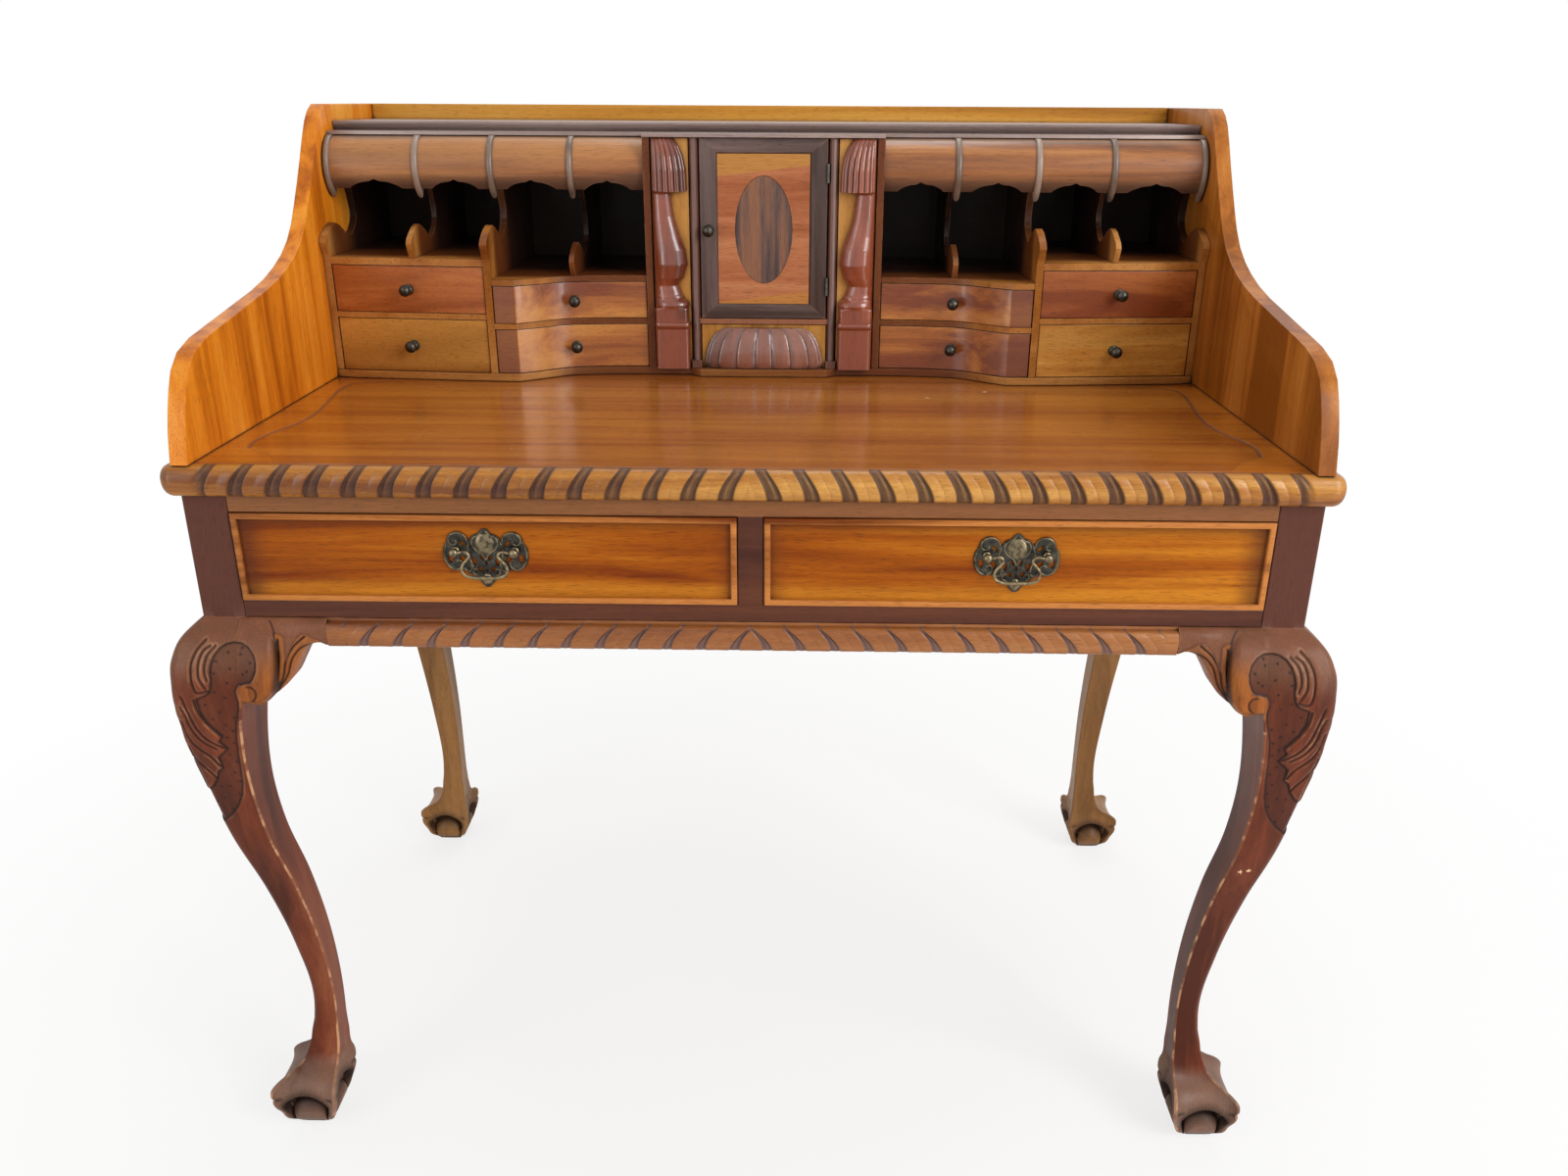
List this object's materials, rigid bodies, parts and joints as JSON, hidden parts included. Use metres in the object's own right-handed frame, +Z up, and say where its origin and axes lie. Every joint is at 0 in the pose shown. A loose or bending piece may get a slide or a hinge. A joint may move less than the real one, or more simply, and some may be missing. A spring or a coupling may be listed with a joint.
{
  "type": "writing desk",
  "caption": "Mahogany slant-front style writing desk: gallery of pigeonholes and small drawers with a prospect door, frieze drawers, cabriole legs with claw-and-ball feet.",
  "frame": {"origin": "on the floor under the middle of the desk's bounding box", "axes": "+X to the right as one sits at the desk, +Y towards the back, +Z up; the front faces -Y"},
  "size_m": [1.1304, 0.6958, 1.101],
  "materials": {
    "mahogany": "satin polished",
    "dark_mahogany": "satin polished, dark glaze",
    "amber_mahogany": "satin polished",
    "plain_wood": "plain sawn",
    "antique_brass": "antique dark"
  },
  "bodies": {
    "desk": {"left_front_leg": "mahogany", "left_back_leg": "mahogany", "left_knee_bracket": "mahogany", "left_case_side": "mahogany", "right_front_leg": "mahogany", "right_back_leg": "mahogany", "right_knee_bracket": "mahogany", "right_case_side": "mahogany", "apron_moulding": "mahogany", "front_rails": "dark_mahogany", "case_back": "plain_wood", "drawer_dustboard": "plain_wood", "writing_top": "mahogany", "edge_moulding": "amber_mahogany", "gallery_back": "amber_mahogany", "gallery_base": "amber_mahogany", "gallery_top": "dark_mahogany", "prospect_surround": "dark_mahogany", "left_gallery_side": "amber_mahogany", "left_pigeonhole_frame": "mahogany", "left_canopy": "mahogany", "right_gallery_side": "amber_mahogany", "right_pigeonhole_frame": "mahogany", "right_canopy": "mahogany"},
    "left_drawer": {"left_drawer_front": "mahogany", "left_drawer_box": "plain_wood", "left_pull_plate": "antique_brass"},
    "left_bail_handle": {"left_bail": "antique_brass"},
    "right_drawer": {"right_drawer_front": "mahogany", "right_drawer_box": "plain_wood", "right_pull_plate": "antique_brass"},
    "right_bail_handle": {"right_bail": "antique_brass"},
    "left_outer_lower_drawer": {"left_outer_lower_drawer": "mahogany", "left_outer_lower_drawer_knob": "antique_brass"},
    "left_outer_upper_drawer": {"left_outer_upper_drawer": "mahogany", "left_outer_upper_drawer_knob": "antique_brass"},
    "left_inner_lower_drawer": {"left_inner_lower_drawer": "mahogany", "left_inner_lower_drawer_knob": "antique_brass"},
    "left_inner_upper_drawer": {"left_inner_upper_drawer": "mahogany", "left_inner_upper_drawer_knob": "antique_brass"},
    "right_outer_lower_drawer": {"right_outer_lower_drawer": "mahogany", "right_outer_lower_drawer_knob": "antique_brass"},
    "right_outer_upper_drawer": {"right_outer_upper_drawer": "mahogany", "right_outer_upper_drawer_knob": "antique_brass"},
    "right_inner_lower_drawer": {"right_inner_lower_drawer": "mahogany", "right_inner_lower_drawer_knob": "antique_brass"},
    "right_inner_upper_drawer": {"right_inner_upper_drawer": "mahogany", "right_inner_upper_drawer_knob": "antique_brass"},
    "door": {"door_frame": "dark_mahogany", "door_panel": "amber_mahogany", "door_oval_inlay": "dark_mahogany", "door_knob": "antique_brass", "upper_door_hinge": "antique_brass", "lower_door_hinge": "antique_brass"},
    "shell_drawer": {"shell_drawer": "amber_mahogany", "carved_shell": "mahogany"},
    "left_document_drawer": {"left_document_drawer": "amber_mahogany", "left_pilaster": "mahogany"},
    "right_document_drawer": {"right_document_drawer": "amber_mahogany", "right_pilaster": "mahogany"}
  },
  "joints": [
    {"name": "left_drawer_slide", "type": "slide", "parent": "desk", "child": "left_drawer", "axis": [0, -1, 0], "range_m": [0, 0.4]},
    {"name": "left_bail_hinge", "type": "hinge", "parent": "left_drawer", "child": "left_bail_handle", "pos_m": [-0.25062, -0.3226, 0.71145], "axis": [-1, 0, 0], "range_deg": [0, 90]},
    {"name": "right_drawer_slide", "type": "slide", "parent": "desk", "child": "right_drawer", "axis": [0, -1, 0], "range_m": [0, 0.4]},
    {"name": "right_bail_hinge", "type": "hinge", "parent": "right_drawer", "child": "right_bail_handle", "pos_m": [0.25062, -0.3226, 0.71145], "axis": [-1, 0, 0], "range_deg": [0, 90]},
    {"name": "left_outer_lower_drawer_slide", "type": "slide", "parent": "desk", "child": "left_outer_lower_drawer", "axis": [0, -1, 0], "range_m": [0, 0.13]},
    {"name": "left_outer_upper_drawer_slide", "type": "slide", "parent": "desk", "child": "left_outer_upper_drawer", "axis": [0, -1, 0], "range_m": [0, 0.13]},
    {"name": "left_inner_lower_drawer_slide", "type": "slide", "parent": "desk", "child": "left_inner_lower_drawer", "axis": [0, -1, 0], "range_m": [0, 0.13]},
    {"name": "left_inner_upper_drawer_slide", "type": "slide", "parent": "desk", "child": "left_inner_upper_drawer", "axis": [0, -1, 0], "range_m": [0, 0.13]},
    {"name": "right_outer_lower_drawer_slide", "type": "slide", "parent": "desk", "child": "right_outer_lower_drawer", "axis": [0, -1, 0], "range_m": [0, 0.13]},
    {"name": "right_outer_upper_drawer_slide", "type": "slide", "parent": "desk", "child": "right_outer_upper_drawer", "axis": [0, -1, 0], "range_m": [0, 0.13]},
    {"name": "right_inner_lower_drawer_slide", "type": "slide", "parent": "desk", "child": "right_inner_lower_drawer", "axis": [0, -1, 0], "range_m": [0, 0.13]},
    {"name": "right_inner_upper_drawer_slide", "type": "slide", "parent": "desk", "child": "right_inner_upper_drawer", "axis": [0, -1, 0], "range_m": [0, 0.13]},
    {"name": "door_hinge", "type": "hinge", "parent": "desk", "child": "door", "pos_m": [0.0752, 0.0963, 0.96], "axis": [0, 0, 1], "range_deg": [0, 90]},
    {"name": "shell_drawer_slide", "type": "slide", "parent": "desk", "child": "shell_drawer", "axis": [0, -1, 0], "range_m": [0, 0.13]},
    {"name": "left_document_drawer_slide", "type": "slide", "parent": "desk", "child": "left_document_drawer", "axis": [0, -1, 0], "range_m": [0, 0.11]},
    {"name": "right_document_drawer_slide", "type": "slide", "parent": "desk", "child": "right_document_drawer", "axis": [0, -1, 0], "range_m": [0, 0.11]}
  ]
}
